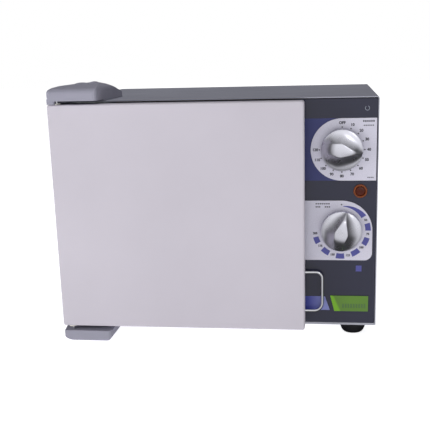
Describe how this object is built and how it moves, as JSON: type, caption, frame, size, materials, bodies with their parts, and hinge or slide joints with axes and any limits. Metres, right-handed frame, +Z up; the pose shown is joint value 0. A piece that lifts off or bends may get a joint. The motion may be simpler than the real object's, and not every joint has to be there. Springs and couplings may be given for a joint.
{
  "type": "benchtop hot-air steriliser",
  "caption": "Benchtop steriliser cabinet with a side-hinged insulated door, a heated tray chamber, and a control panel with a rotary timer, a thermostat and a pilot lamp.",
  "frame": {"origin": "centre of the bounding box on the surface that the feet stand on", "axes": "+X to the right of the front, +Y to the back, +Z up; the door and controls face -Y"},
  "size_m": [0.47, 0.43, 0.3853],
  "materials": {
    "cover_paint": "mid-grey oven enamel on steel sheet, fine texture",
    "base_paint": "light grey paint on steel sheet",
    "panel_paint": "dark blue-grey satin paint with printed graphics",
    "door_paint": "pale grey satin paint on a folded steel door skin",
    "arm_casting": "grey painted zinc casting",
    "stainless": "brushed stainless sheet",
    "zinc_plate": "bright zinc-plated steel",
    "hinge_steel": "ground steel pin",
    "chrome_wire": "polished chrome plate on steel wire",
    "knob_chrome": "satin chrome plate on moulded plastic",
    "foot_rubber": "black moulded rubber",
    "silicone": "brick-red silicone seal",
    "nylon": "natural nylon",
    "black_plastic": "black moulded phenolic or nylon",
    "dial_print": "printed pale lilac-white dial overlay",
    "green_label": "printed green label",
    "amber_plastic": "amber moulded bezel",
    "amber_lens": "translucent amber lens",
    "heater_sheath": "heat-darkened nickel alloy sheath",
    "tray_aluminium": "plain aluminium sheet",
    "brass_spindle": "turned brass",
    "copper_capillary": "drawn copper capillary and bulb",
    "glass_wool": "yellow glass-wool blanket",
    "ceramic": "glazed ceramic",
    "lead_brown": "brown silicone-sleeved lead",
    "lead_blue": "blue silicone-sleeved lead",
    "lead_white": "white glass-fibre sleeved lead"
  },
  "bodies": {
    "cabinet": {"wrap_cover": "cover_paint", "base_plate": "base_paint", "back_panel": "cover_paint", "front_panel": "panel_paint", "control_bay_divider": "zinc_plate", "foot_front_left": "foot_rubber", "foot_front_right": "foot_rubber", "foot_rear_left": "foot_rubber", "foot_rear_right": "foot_rubber", "foot_screw_front_left": "zinc_plate", "foot_screw_front_right": "zinc_plate", "foot_screw_rear_left": "zinc_plate", "foot_screw_rear_right": "zinc_plate", "inner_chamber": "stainless", "chamber_insulation": "glass_wool", "heater_element": "heater_sheath", "chamber_floor_plate": "stainless", "shelf_ladder_left": "stainless", "shelf_ladder_right": "stainless", "lower_tray": "tray_aluminium", "upper_tray": "tray_aluminium", "overheat_cutout": "black_plastic", "catch_magnet": "black_plastic", "hinge_arm_upper": "arm_casting", "hinge_arm_lower": "arm_casting", "arm_backing_plate": "zinc_plate", "arm_screw_upper_left": "arm_casting", "arm_screw_upper_right": "arm_casting", "arm_screw_lower_front": "zinc_plate", "arm_screw_lower_rear": "zinc_plate", "hinge_pin_upper": "hinge_steel", "hinge_pin_lower": "hinge_steel", "timer_dial": "dial_print", "thermostat_dial": "dial_print", "corner_label": "green_label", "timer_movement": "tray_aluminium", "thermostat_body": "black_plastic", "thermostat_capillary": "copper_capillary", "pilot_lamp_bezel": "amber_plastic", "pilot_lamp_lens": "amber_lens", "pilot_lamp_body": "nylon", "mains_inlet": "black_plastic", "fuse_holder": "black_plastic", "terminal_block": "ceramic", "lead_live": "lead_brown", "lead_neutral": "lead_blue", "lead_timer": "lead_brown", "lead_heater": "lead_white"},
    "door": {"door_skin": "door_paint", "door_liner": "stainless", "door_insulation": "glass_wool", "door_gasket": "silicone", "door_handle": "chrome_wire", "catch_strike": "zinc_plate", "hinge_bush_upper": "nylon", "hinge_bush_lower": "nylon"},
    "timer_control": {"timer_knob": "knob_chrome", "timer_shaft": "brass_spindle"},
    "thermostat_control": {"thermostat_knob": "knob_chrome", "thermostat_shaft": "brass_spindle"}
  },
  "joints": [
    {"name": "door_hinge", "type": "hinge", "parent": "cabinet", "child": "door", "pos_m": [-0.22, -0.201, 0.19], "axis": [0, 0, -1], "range_deg": [0, 175]},
    {"name": "timer_turn", "type": "hinge", "parent": "cabinet", "child": "timer_control", "pos_m": [0.184, -0.179, 0.2844], "axis": [0, 1, 0], "range_deg": [-101, 169]},
    {"name": "thermostat_turn", "type": "hinge", "parent": "cabinet", "child": "thermostat_control", "pos_m": [0.184, -0.179, 0.1675], "axis": [0, 1, 0], "range_deg": [-14, 250]}
  ]
}
